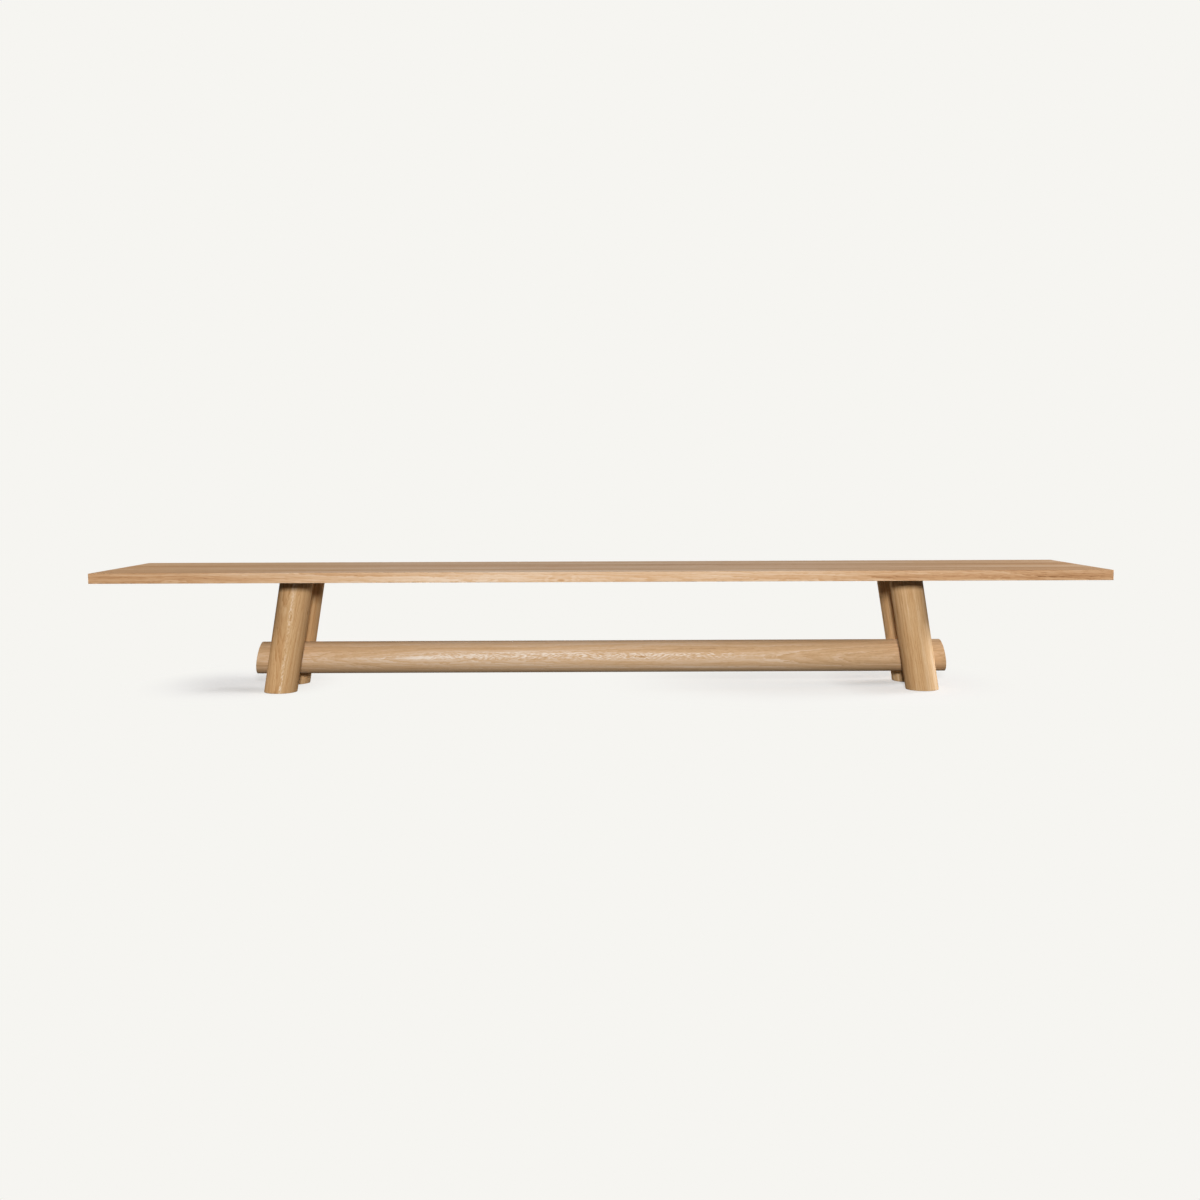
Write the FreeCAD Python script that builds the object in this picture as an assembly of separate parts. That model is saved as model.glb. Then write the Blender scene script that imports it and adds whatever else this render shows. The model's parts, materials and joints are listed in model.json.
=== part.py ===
import FreeCAD
import Part
import math
import os

# Trestle dining table: a long oak top, edge-glued from boards, on two pairs of leaning round legs. One round
# stretcher is gripped between the front and the rear legs. Millimetres, +Z up, +X along the table, the front
# towards -Y, and the origin on the floor under the middle of the top.

# Top
TABLE_LENGTH = 6000.0
TABLE_HEIGHT = 755.0
TOP_THICKNESS = 60.0
BOARD_COUNT = 7
BOARD_WIDTH = 157.0
TOP_EDGE_ROUND = 2.0

# Loose tongues between the boards
SPLINE_THICKNESS = 12.0
SPLINE_WIDTH = 40.0
SPLINE_STOP = 60.0  # end of the board to the end of the tongue
SPLINE_CLEARANCE = 0.3

# Legs
LEG_DIAMETER = 198.0
LEG_SPLAY_DEG = 9.4  # lean outwards, in the plane of the table's length
END_OVERHANG = 1140.0  # end of the top to the middle of the leg tops
FOOT_ROUND = 3.0

# Stretcher
STRETCHER_DIAMETER = 200.0
STRETCHER_HEIGHT = 189.0  # floor to axis
STRETCHER_STUB = 97.0  # how far it runs past the legs
STRETCHER_END_ROUND = 3.0
SADDLE_DEPTH = 9.0  # how deep it seats in each leg
SADDLE_CLEARANCE = 0.2

# Dowels through each saddle
DOWEL_DIAMETER = 25.0
DOWEL_LENGTH = 140.0
DOWEL_PITCH = 60.0
DOWEL_CLEARANCE = 0.1
DOWEL_END_CLEARANCE = 1.0

# Felt glides
GLIDE_DIAMETER = 150.0
GLIDE_THICKNESS = 5.0
GLIDE_PROUD = 2.0
GLIDE_CLEARANCE = 0.3

# Steel head plate over each pair of legs
PLATE_THICKNESS = 8.0
PLATE_SIDE_MARGIN = 60.0  # past the leg tops, along the table
PLATE_END_MARGIN = 24.0  # past the leg tops, across the table
PLATE_CORNER_RADIUS = 20.0
PLATE_CLEARANCE = 0.3
PLATE_BOLT_EDGE = 30.0  # bolt centre to the plate's edge
PLATE_SLOT_TRAVEL = 12.0  # room across the table for the boards to swell and shrink

# Long screws from the plate into the leg ends
LEG_SCREW_COUNT = 4
LEG_SCREW_DIAMETER = 8.0
LEG_SCREW_HEAD_DIAMETER = 16.0
LEG_SCREW_LENGTH = 120.0
LEG_SCREW_TIP = 8.0
LEG_SCREW_EDGE = 52.0  # screw centre to the side of the leg
LEG_SCREW_CLEARANCE = 0.1
LEG_SCREW_END_CLEARANCE = 1.0

# Bolts, washers and threaded inserts that hold the plates to the top
PLATE_BOLT_DIAMETER = 10.0
PLATE_BOLT_HEAD_DIAMETER = 17.5
PLATE_BOLT_HEAD_HEIGHT = 5.5
PLATE_BOLT_KEY = 6.0
WASHER_DIAMETER = 24.0
WASHER_THICKNESS = 2.0
PLATE_INSERT_DIAMETER = 14.0
PLATE_INSERT_LENGTH = 25.0

# Steel channels across the boards
CHANNEL_WIDTH = 70.0
CHANNEL_HEIGHT = 20.0
CHANNEL_WALL = 3.0
CHANNEL_END_MARGIN = 25.0  # past the last bolt
CHANNEL_CLEARANCE = 0.3
CHANNEL_SLOT_TRAVEL = 8.0

# Bolts and threaded inserts that hold the channels to the boards
CHANNEL_BOLT_DIAMETER = 6.0
CHANNEL_BOLT_HEAD_DIAMETER = 14.0
CHANNEL_BOLT_HEAD_HEIGHT = 3.5
CHANNEL_BOLT_KEY = 4.0
CHANNEL_INSERT_DIAMETER = 10.0
CHANNEL_INSERT_LENGTH = 15.0

# Shared by both kinds of bolt
THREAD_CLEARANCE = 0.1
SLOT_CLEARANCE = 0.5
INSERT_CLEARANCE = 0.1
INSERT_END_CLEARANCE = 0.5
KEY_DEPTH_SHARE = 0.6  # of the height of a bolt's head
HEAD_ROUND_SHARE = 0.7  # of the height of a bolt's head

# How far a cutting tool starts outside the face that it enters
RUN_OUT = 1.0

# Worked out from the sizes above
TABLE_WIDTH = BOARD_COUNT * BOARD_WIDTH
UNDERSIDE = TABLE_HEIGHT - TOP_THICKNESS
TOP_MIDDLE = TABLE_HEIGHT - TOP_THICKNESS / 2
SPLAY = math.radians(LEG_SPLAY_DEG)
TRESTLE_X = TABLE_LENGTH / 2 - END_OVERHANG
LEG_RADIUS = LEG_DIAMETER / 2
LEG_HALF_X = LEG_RADIUS / math.cos(SPLAY)
STRETCHER_RADIUS = STRETCHER_DIAMETER / 2
LEG_Y = LEG_RADIUS + STRETCHER_RADIUS - SADDLE_DEPTH
SADDLE_Y = LEG_Y - LEG_RADIUS + SADDLE_DEPTH / 2
PLATE_HALF_X = LEG_HALF_X + PLATE_SIDE_MARGIN
PLATE_HALF_Y = LEG_Y + LEG_RADIUS + PLATE_END_MARGIN
PLATE_TOP = UNDERSIDE + PLATE_THICKNESS
WEB_TOP = UNDERSIDE + CHANNEL_WALL
CHANNEL_HALF_Y = (BOARD_COUNT - 1) * BOARD_WIDTH / 2 + CHANNEL_END_MARGIN
CHANNEL_INNER_X = (TRESTLE_X - PLATE_HALF_X) / 2
CHANNEL_OUTER_X = (TRESTLE_X + PLATE_HALF_X + TABLE_LENGTH / 2) / 2
CHANNEL_PLACES = (-CHANNEL_OUTER_X, -CHANNEL_INNER_X, 0.0, CHANNEL_INNER_X, CHANNEL_OUTER_X)
SIDES = {"left": -1, "right": 1}
ROWS = {"front": -1, "rear": 1}

UP = FreeCAD.Vector(0, 0, 1)
ALONG = FreeCAD.Vector(1, 0, 0)
ACROSS = FreeCAD.Vector(0, 1, 0)


def box(x_range, y_range, z_range):
    """A block between two corners."""
    low, high = (FreeCAD.Vector(*corner) for corner in zip(x_range, y_range, z_range))
    size = high - low
    return Part.makeBox(size.x, size.y, size.z, low)


def about(centre, half):
    """The range that reaches equally far to both sides of a centre."""
    return (centre - half, centre + half)


def upright(x, y, z_range, radius):
    """A vertical cylinder."""
    return Part.makeCylinder(radius, z_range[1] - z_range[0], FreeCAD.Vector(x, y, z_range[0]), UP)


def slot(x, y, z_range, width, travel):
    """A vertical slot with round ends, long across the table."""
    middle = box(about(x, width / 2), about(y, travel / 2), z_range)
    ends = [upright(x, y + end * travel / 2, z_range, width / 2) for end in (-1, 1)]
    return middle.multiFuse(ends).removeSplitter()


def rounded_block(x_range, y_range, z_range, radius):
    """A block with its four upright edges rounded."""
    block = box(x_range, y_range, z_range)
    corners = [edge for edge in block.Edges if abs(edge.tangentAt(edge.FirstParameter).z) > 0.5]
    return block.makeFillet(radius, corners)


def cut_where_met(shape, tools):
    """Cuts the tools whose boxes meet the shape."""
    met = [tool for tool in tools if tool.BoundBox.intersect(shape.BoundBox)]
    return shape.cut(met) if met else shape


def round_edges_on(shape, point, normal, radius):
    """Rounds the edges that lie in a plane."""
    def in_plane(edge):
        return all(abs((place - point).dot(normal)) < 1e-4 for place in edge.discretize(7))
    return shape.makeFillet(radius, [edge for edge in shape.Edges if in_plane(edge)])


def leg_x(side, z):
    """Where the axis of a leg is at a height."""
    return side * (TRESTLE_X + (UNDERSIDE - z) * math.tan(SPLAY))


def leg_direction(side):
    """Up along the axis of a leg."""
    return FreeCAD.Vector(-side * math.sin(SPLAY), 0, math.cos(SPLAY))


def dowels(side, row, clearance, end_clearance):
    """The dowels of one saddle, or with clearances their holes."""
    crossing = FreeCAD.Vector(leg_x(side, STRETCHER_HEIGHT), row * SADDLE_Y, STRETCHER_HEIGHT)
    radius = DOWEL_DIAMETER / 2 + clearance
    half = DOWEL_LENGTH / 2 + end_clearance
    pins = []
    for step in (-0.5, 0.5):
        middle = crossing + leg_direction(side) * (step * DOWEL_PITCH)
        pins.append(Part.makeCylinder(radius, 2 * half, middle - ACROSS * half, ACROSS))
    return pins


def leg_screws(side, row, clearance, end_clearance):
    """The countersunk screws of one leg, or with clearances their holes."""
    shank = LEG_SCREW_DIAMETER / 2 + clearance
    head = LEG_SCREW_HEAD_DIAMETER / 2 + clearance
    tip = PLATE_TOP - LEG_SCREW_LENGTH - end_clearance
    outline = [(0, tip), (shank, tip + LEG_SCREW_TIP), (shank, PLATE_TOP - head + shank), (head, PLATE_TOP)]
    outline += [(0, PLATE_TOP), (0, tip)]
    section = Part.Face(Part.makePolygon([FreeCAD.Vector(r, 0, z) for r, z in outline]))
    circle = LEG_RADIUS - LEG_SCREW_EDGE
    screws = []
    for step in range(LEG_SCREW_COUNT):
        angle = 2 * math.pi * (step + 0.5) / LEG_SCREW_COUNT
        screw = section.revolve(FreeCAD.Vector(), UP, 360)
        screw.translate(FreeCAD.Vector(side * TRESTLE_X + circle * math.cos(angle), row * LEG_Y, 0))
        screw.translate(ACROSS * circle * math.sin(angle))
        screws.append(screw)
    return screws


def stretcher_rod(clearance, end):
    """A rod along the stretcher's axis, out to an end on each side."""
    start = FreeCAD.Vector(-end, 0, STRETCHER_HEIGHT)
    return Part.makeCylinder(STRETCHER_RADIUS + clearance, 2 * end, start, ALONG)


def leg(side, row):
    """A leaning round leg, cut level at both ends, with its saddle, its holes and its glide recess."""
    overrun = LEG_DIAMETER
    foot = FreeCAD.Vector(leg_x(side, -overrun), row * LEG_Y, -overrun)
    length = (UNDERSIDE + 2 * overrun) / math.cos(SPLAY)
    blank = Part.makeCylinder(LEG_RADIUS, length, foot, leg_direction(side))
    wide = 2 * leg_x(1, -overrun)
    shape = blank.common(box(about(0, wide), about(0, wide), (GLIDE_PROUD, UNDERSIDE)))
    shape = round_edges_on(shape, UP * GLIDE_PROUD, UP, FOOT_ROUND)
    recess_z = (GLIDE_PROUD - RUN_OUT, GLIDE_THICKNESS)
    tools = [stretcher_rod(SADDLE_CLEARANCE, wide)]
    tools.append(upright(leg_x(side, 0), row * LEG_Y, recess_z, GLIDE_DIAMETER / 2 + GLIDE_CLEARANCE))
    tools += dowels(side, row, DOWEL_CLEARANCE, DOWEL_END_CLEARANCE)
    tools += leg_screws(side, row, LEG_SCREW_CLEARANCE, LEG_SCREW_END_CLEARANCE)
    return shape.cut(tools)


def glide(side, row):
    """A felt disc let into the foot, a little proud of it."""
    return upright(leg_x(side, 0), row * LEG_Y, (0, GLIDE_THICKNESS), GLIDE_DIAMETER / 2)


def stretcher():
    """The round stretcher, with its ends cut parallel to the legs and its dowel holes."""
    end = leg_x(1, STRETCHER_HEIGHT) + LEG_HALF_X + STRETCHER_STUB
    lean = STRETCHER_DIAMETER * math.tan(SPLAY)
    low = STRETCHER_HEIGHT - STRETCHER_DIAMETER
    high = STRETCHER_HEIGHT + STRETCHER_DIAMETER
    outline = [(-end - lean, low), (end + lean, low), (end - lean, high), (-end + lean, high)]
    outline.append(outline[0])
    face = Part.Face(Part.makePolygon([FreeCAD.Vector(x, -STRETCHER_DIAMETER, z) for x, z in outline]))
    shape = stretcher_rod(0, end + STRETCHER_DIAMETER).common(face.extrude(ACROSS * 2 * STRETCHER_DIAMETER))
    holes = []
    for side in SIDES.values():
        normal = FreeCAD.Vector(side * math.cos(SPLAY), 0, math.sin(SPLAY))
        end_middle = FreeCAD.Vector(side * end, 0, STRETCHER_HEIGHT)
        shape = round_edges_on(shape, end_middle, normal, STRETCHER_END_ROUND)
        for row in ROWS.values():
            holes += dowels(side, row, DOWEL_CLEARANCE, DOWEL_END_CLEARANCE)
    return shape.cut(holes)


def plate_bolt_places(side):
    """Two rows of three bolts, clear of the leg tops."""
    reach_x = PLATE_HALF_X - PLATE_BOLT_EDGE
    reach_y = PLATE_HALF_Y - PLATE_BOLT_EDGE
    return [(side * TRESTLE_X + i * reach_x, j * reach_y) for i in (-1, 1) for j in (-1, 0, 1)]


def plate_block(side, clearance, low):
    """The outline of a head plate, or with a clearance its recess."""
    x_range = about(side * TRESTLE_X, PLATE_HALF_X + clearance)
    y_range = about(0, PLATE_HALF_Y + clearance)
    return rounded_block(x_range, y_range, (low, PLATE_TOP), PLATE_CORNER_RADIUS + clearance)


def head_plate(side):
    """A steel plate flush with the underside, with slots for its bolts and countersinks for its screws."""
    width = PLATE_BOLT_DIAMETER + 2 * SLOT_CLEARANCE
    through = (UNDERSIDE - RUN_OUT, PLATE_TOP + RUN_OUT)
    tools = [slot(x, y, through, width, PLATE_SLOT_TRAVEL) for x, y in plate_bolt_places(side)]
    for row in ROWS.values():
        tools += leg_screws(side, row, LEG_SCREW_CLEARANCE, LEG_SCREW_END_CLEARANCE)
    return plate_block(side, 0, UNDERSIDE).cut(tools)


def channel_bolt_places(x):
    """One bolt in the middle of each board."""
    first = -(BOARD_COUNT - 1) * BOARD_WIDTH / 2
    return [(x, first + board * BOARD_WIDTH) for board in range(BOARD_COUNT)]


def channel(x):
    """A steel channel across the boards, its web flush with the underside and its flanges in the wood."""
    y_range = about(0, CHANNEL_HALF_Y)
    block = box(about(x, CHANNEL_WIDTH / 2), y_range, (UNDERSIDE, UNDERSIDE + CHANNEL_HEIGHT))
    inside = box(about(x, CHANNEL_WIDTH / 2 - CHANNEL_WALL), y_range, (WEB_TOP, UNDERSIDE + CHANNEL_HEIGHT))
    width = CHANNEL_BOLT_DIAMETER + 2 * SLOT_CLEARANCE
    through = (UNDERSIDE - RUN_OUT, WEB_TOP + RUN_OUT)
    slots = [slot(px, py, through, width, CHANNEL_SLOT_TRAVEL) for px, py in channel_bolt_places(x)]
    return block.cut([inside] + slots)


def channel_recess(x):
    """The shallow recess for a channel's web and the two grooves for its flanges."""
    y_range = about(0, CHANNEL_HALF_Y + CHANNEL_CLEARANCE)
    web = box(about(x, CHANNEL_WIDTH / 2 + CHANNEL_CLEARANCE), y_range, (UNDERSIDE - RUN_OUT, WEB_TOP))
    groove_z = (UNDERSIDE - RUN_OUT, UNDERSIDE + CHANNEL_HEIGHT + CHANNEL_CLEARANCE)
    half_groove = CHANNEL_WALL / 2 + CHANNEL_CLEARANCE
    wall_x = (CHANNEL_WIDTH - CHANNEL_WALL) / 2
    grooves = [box(about(x + end * wall_x, half_groove), y_range, groove_z) for end in (-1, 1)]
    return web.multiFuse(grooves)


def bolt(place, seat, tip, diameter, head_diameter, head_height, key):
    """A button-headed bolt, driven upwards with a hexagon key."""
    x, y = place
    head = upright(x, y, (seat - head_height, seat), head_diameter / 2)
    head = round_edges_on(head, UP * (seat - head_height), UP, HEAD_ROUND_SHARE * head_height)
    corner = key / math.sqrt(3)
    turns = [math.radians(60 * step) for step in range(7)]
    middle = FreeCAD.Vector(x, y, seat - head_height)
    ring = [middle + FreeCAD.Vector(math.cos(a), math.sin(a), 0) * corner for a in turns]
    socket = Part.Face(Part.makePolygon(ring)).extrude(UP * KEY_DEPTH_SHARE * head_height)
    return head.fuse(upright(x, y, (seat, tip), diameter / 2)).cut(socket)


def sleeve(place, z_range, outer_diameter, inner_diameter):
    """A round sleeve: a threaded insert or a washer."""
    outer = upright(*place, z_range, outer_diameter / 2)
    return outer.cut(upright(*place, z_range, inner_diameter / 2))


def insert_bore(place, low, diameter, length):
    """The hole in a board for a threaded insert."""
    z_range = (low - RUN_OUT, low + length + INSERT_END_CLEARANCE)
    return upright(*place, z_range, diameter / 2 + INSERT_CLEARANCE)


def spline_block(joint, clearance):
    """The loose tongue between two boards, or with a clearance the grooves for it."""
    y = (joint - BOARD_COUNT / 2) * BOARD_WIDTH
    x_range = about(0, TABLE_LENGTH / 2 - SPLINE_STOP + clearance)
    return box(x_range, about(y, SPLINE_WIDTH / 2 + clearance), about(TOP_MIDDLE, SPLINE_THICKNESS / 2))


def rounded_slab():
    """The whole top with its outer edges eased, before it is divided into boards."""
    slab = box(about(0, TABLE_LENGTH / 2), about(0, TABLE_WIDTH / 2), (UNDERSIDE, TABLE_HEIGHT))
    return slab.makeFillet(TOP_EDGE_ROUND, slab.Edges)


def board(slab, number, tools):
    """One full-length board of the top, grooved and drilled. Board 1 is at the front."""
    y = (number - 0.5 - BOARD_COUNT / 2) * BOARD_WIDTH
    strip = box(about(0, TABLE_LENGTH), about(y, BOARD_WIDTH / 2), (0, TABLE_HEIGHT + RUN_OUT))
    return cut_where_met(slab.common(strip), tools)


PLATE_BOLTS = [place for side in SIDES.values() for place in plate_bolt_places(side)]
CHANNEL_BOLTS = [place for x in CHANNEL_PLACES for place in channel_bolt_places(x)]
PLATE_THREAD = PLATE_BOLT_DIAMETER + 2 * THREAD_CLEARANCE
CHANNEL_THREAD = CHANNEL_BOLT_DIAMETER + 2 * THREAD_CLEARANCE
PLATE_INSERT_TOP = PLATE_TOP + PLATE_INSERT_LENGTH
CHANNEL_INSERT_TOP = WEB_TOP + CHANNEL_INSERT_LENGTH
WASHER_SEAT = UNDERSIDE - WASHER_THICKNESS

underside_cuts = [plate_block(side, PLATE_CLEARANCE, UNDERSIDE - RUN_OUT) for side in SIDES.values()]
underside_cuts += [channel_recess(x) for x in CHANNEL_PLACES]
for place in PLATE_BOLTS:
    underside_cuts.append(insert_bore(place, PLATE_TOP, PLATE_INSERT_DIAMETER, PLATE_INSERT_LENGTH))
for place in CHANNEL_BOLTS:
    underside_cuts.append(insert_bore(place, WEB_TOP, CHANNEL_INSERT_DIAMETER, CHANNEL_INSERT_LENGTH))
board_cuts = underside_cuts + [spline_block(joint, SPLINE_CLEARANCE) for joint in range(1, BOARD_COUNT)]

nodes = {}

top_slab = rounded_slab()
for number in range(1, BOARD_COUNT + 1):
    nodes[f"top_board_{number}"] = board(top_slab, number, board_cuts)
for joint in range(1, BOARD_COUNT):
    nodes[f"top_spline_{joint}"] = cut_where_met(spline_block(joint, 0), underside_cuts)

for number, x in enumerate(CHANNEL_PLACES, start=1):
    nodes[f"stiffener_channel_{number}"] = channel(x)
channel_head = (CHANNEL_BOLT_HEAD_DIAMETER, CHANNEL_BOLT_HEAD_HEIGHT, CHANNEL_BOLT_KEY)
nodes["channel_bolts"] = Part.makeCompound(
    [bolt(p, UNDERSIDE, CHANNEL_INSERT_TOP, CHANNEL_BOLT_DIAMETER, *channel_head) for p in CHANNEL_BOLTS]
)
nodes["channel_inserts"] = Part.makeCompound(
    [sleeve(p, (WEB_TOP, CHANNEL_INSERT_TOP), CHANNEL_INSERT_DIAMETER, CHANNEL_THREAD) for p in CHANNEL_BOLTS]
)

for side_name, side in SIDES.items():
    nodes[f"head_plate_{side_name}"] = head_plate(side)
plate_head = (PLATE_BOLT_HEAD_DIAMETER, PLATE_BOLT_HEAD_HEIGHT, PLATE_BOLT_KEY)
nodes["plate_bolts"] = Part.makeCompound(
    [bolt(p, WASHER_SEAT, PLATE_INSERT_TOP, PLATE_BOLT_DIAMETER, *plate_head) for p in PLATE_BOLTS]
)
nodes["plate_washers"] = Part.makeCompound(
    [sleeve(p, (WASHER_SEAT, UNDERSIDE), WASHER_DIAMETER, PLATE_THREAD) for p in PLATE_BOLTS]
)
nodes["plate_inserts"] = Part.makeCompound(
    [sleeve(p, (PLATE_TOP, PLATE_INSERT_TOP), PLATE_INSERT_DIAMETER, PLATE_THREAD) for p in PLATE_BOLTS]
)

all_leg_screws = []
for row_name, row in ROWS.items():
    for side_name, side in SIDES.items():
        corner_name = f"{row_name}_{side_name}"
        nodes[f"leg_{corner_name}"] = leg(side, row)
        nodes[f"foot_glide_{corner_name}"] = glide(side, row)
        nodes[f"saddle_dowels_{corner_name}"] = Part.makeCompound(dowels(side, row, 0, 0))
        all_leg_screws += leg_screws(side, row, 0, 0)
nodes["leg_screws"] = Part.makeCompound(all_leg_screws)
nodes["stretcher"] = stretcher()

os.makedirs("parts", exist_ok=True)
for name, shape in nodes.items():
    shape.exportStep(f"parts/{name}.step")
    print(f"{name}: {len(shape.Solids)} solid(s), valid {shape.isValid()}, {shape.Volume / 1e6:.3f} litres")
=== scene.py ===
# %% [markdown]
# # A six-metre trestle table in oiled oak
#
# The table has a thick top of seven boards, four round legs that lean outwards in two pairs, and one
# round stretcher that runs between the front and the rear legs. All of these shapes already exist as CAD
# solids. This lesson loads them as a fixed frame, puts them in front of a camera and a soft light, and
# spends its time on what the eye reads as oak: year rings, flames, fibres, pores and the colour of the
# oil. The small steel parts under the top come last, where Geometry Nodes set out the bolts.

# %% Load the frame
import json
import math

import bpy
import bmesh
from mathutils import Euler, Matrix, Vector

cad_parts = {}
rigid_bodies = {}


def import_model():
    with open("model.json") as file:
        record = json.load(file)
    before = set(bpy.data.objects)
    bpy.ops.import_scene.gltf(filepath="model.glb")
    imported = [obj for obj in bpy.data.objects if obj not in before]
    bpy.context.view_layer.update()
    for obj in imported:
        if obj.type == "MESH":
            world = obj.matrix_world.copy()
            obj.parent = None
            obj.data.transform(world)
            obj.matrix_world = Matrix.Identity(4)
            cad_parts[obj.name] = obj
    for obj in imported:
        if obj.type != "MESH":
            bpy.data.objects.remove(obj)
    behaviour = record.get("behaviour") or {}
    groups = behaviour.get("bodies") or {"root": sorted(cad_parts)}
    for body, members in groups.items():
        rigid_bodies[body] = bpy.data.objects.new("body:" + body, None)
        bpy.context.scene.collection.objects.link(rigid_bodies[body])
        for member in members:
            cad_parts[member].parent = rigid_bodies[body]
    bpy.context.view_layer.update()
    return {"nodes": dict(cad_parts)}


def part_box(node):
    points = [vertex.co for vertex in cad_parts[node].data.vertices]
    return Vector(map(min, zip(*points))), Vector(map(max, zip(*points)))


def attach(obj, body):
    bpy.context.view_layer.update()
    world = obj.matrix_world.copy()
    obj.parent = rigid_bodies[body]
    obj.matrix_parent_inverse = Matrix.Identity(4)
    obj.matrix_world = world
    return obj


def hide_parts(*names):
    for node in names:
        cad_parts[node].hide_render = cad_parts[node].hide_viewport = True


for leftover in list(bpy.data.objects):
    bpy.data.objects.remove(leftover)
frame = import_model()
nodes = frame["nodes"]

# %% [markdown]
# ## The camera
#
# The photograph was taken from a little above the table's height, eight metres off and almost square on.
# Such a view could be found by eye, but here it was fitted to the corners of the top and the edges of the
# legs. The camera's matrix is written from three turns: yaw to the right, pitch down, and a very small
# roll.

# %% Place the camera
CAMERA_PLACE = Vector((-0.0608, -8.4478, 1.2561))
YAW, PITCH, ROLL = 0.00614, 0.0842, -0.00332
FOCAL_PIXELS = 1353.3
FRAME_PIXELS = 1200

ahead = Vector((math.sin(YAW) * math.cos(PITCH), math.cos(YAW) * math.cos(PITCH), -math.sin(PITCH)))
level = Vector((math.cos(YAW), -math.sin(YAW), 0.0))
upward = level.cross(ahead)
right = level * math.cos(ROLL) + upward * math.sin(ROLL)
above = upward * math.cos(ROLL) - level * math.sin(ROLL)

lens = bpy.data.cameras.new("photo_camera")
lens.sensor_width = 36.0
lens.lens = FOCAL_PIXELS / FRAME_PIXELS * lens.sensor_width
lens.clip_end = 200.0
camera = bpy.data.objects.new("photo_camera", lens)
camera.matrix_world = Matrix((right, above, -ahead)).transposed().to_4x4()
camera.location = CAMERA_PLACE
bpy.context.scene.collection.objects.link(camera)
bpy.context.scene.camera = camera
print("lens in mm:", round(lens.lens, 2))

# %% [markdown]
# ## Colours and nodes
#
# Every colour in this lesson is written as the sRGB hex value that a picture program shows. Blender
# computes with linear light, so one function turns the one into the other. A second small function adds a
# node to a tree, sets its properties and inputs, and makes its links. Everything else is built from those
# two. An input goes by its name, or by its place where names repeat: on a Map Range node, place 0 is the
# value, 1 and 2 are the range that it comes from, and 3 and 4 are the range that it goes to.

# %% Two small helpers
def linear(hex_colour):
    """The linear light of an sRGB colour, with full opacity."""
    shares = [int(hex_colour[i:i + 2], 16) / 255 for i in (1, 3, 5)]
    return [s / 12.92 if s <= 0.04045 else ((s + 0.055) / 1.055) ** 2.4 for s in shares] + [1.0]


def add(tree, kind, inputs=None, stops=None, **settings):
    """Adds a node. An input is a value or another node's socket; stops are those of a colour ramp."""
    node = tree.nodes.new(kind)
    for name, value in settings.items():
        setattr(node, name, value)
    if stops:
        marks = node.color_ramp.elements
        marks.remove(marks[1])
        marks[0].position, marks[0].color = stops[0]
        for position, colour in stops[1:]:
            marks.new(position).color = colour
    for name, value in (inputs or {}).items():
        if isinstance(value, bpy.types.NodeSocket):
            tree.links.new(value, node.inputs[name])
        else:
            node.inputs[name].default_value = value
    return node


print("linear light of a mid grey:", [round(v, 3) for v in linear("#808080")])

# %% [markdown]
# ## A pale studio
#
# The table stands on a pale floor that runs into a backdrop of the same colour. A real studio uses a
# paper roll for this. Here the camera, and anything that mirrors, sees the plain paper colour. All other
# rays meet a matt grey floor and a dim sky that is brighter overhead, so little light comes from behind
# or from below, and the round legs keep their dark edges.

# %% The world and the paper colour
PAPER = linear("#F6F5F1")
SKY = linear("#FFFDF9")
SKY_LOW, SKY_HIGH = 0.05, 0.40


def plain_sight(tree):
    """Gives 1 to the camera and to what mirrors or is looked through, and 0 to all other rays."""
    path = add(tree, "ShaderNodeLightPath").outputs
    seen = path["Is Camera Ray"]
    for kind in ("Is Glossy Ray", "Is Transmission Ray"):
        seen = add(tree, "ShaderNodeMath", {0: seen, 1: path[kind]}, operation="MAXIMUM").outputs[0]
    return seen


world = bpy.data.worlds.new("studio")
world.use_nodes = True
bpy.context.scene.world = world
tree = world.node_tree
tree.nodes.clear()
way = add(tree, "ShaderNodeTexCoord").outputs["Generated"]
height = add(tree, "ShaderNodeSeparateXYZ", {0: way}).outputs["Z"]
strength = add(tree, "ShaderNodeMapRange", {0: height, 1: 0.0, 2: 1.0, 3: SKY_LOW, 4: SKY_HIGH}).outputs[0]
light = add(tree, "ShaderNodeBackground", {"Color": SKY, "Strength": strength})
paper = add(tree, "ShaderNodeBackground", {"Color": PAPER, "Strength": 1.0})
both = add(tree, "ShaderNodeMixShader", {0: plain_sight(tree), 1: light.outputs[0], 2: paper.outputs[0]})
add(tree, "ShaderNodeOutputWorld", {"Surface": both.outputs[0]})
bpy.context.scene.view_settings.view_transform = "Standard"
print("sky level at the horizon and overhead:", SKY_LOW, SKY_HIGH)

# %% [markdown]
# In a pool at each pair of feet the camera sees a share of matt paper, which takes the table's shadow.
# The lamps are set for the oak and are too weak for paper, so the matt paper is made as much lighter as
# the light that falls on it is short of full light. It is also a little bluer, because the oak throws
# warm light on it. The right feet have a second pool, wider and fainter, where the shadow runs on under
# the stretcher. The pools fade to plain paper further out, so no edge shows.

# %% The paper of the floor
POOLS = [
    # middle, reach each way, largest share of matt paper
    ((-2.30, 0.2, 0.0), (0.70, 0.9, 1.0), 0.62),
    ((1.20, 0.2, 0.0), (1.25, 1.2, 1.0), 0.38),
    ((1.85, 0.2, 0.0), (0.80, 1.2, 1.0), 0.62),
]
POOL_CORE = 0.2         # the share of a pool's reach within which it does not fade
MATT_PAPER = linear("#F6F6F8")
POOL_LIGHT = 0.88       # the light that falls on the paper, as a share of full light
UNDERLIGHT = linear("#4C4B49")


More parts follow.
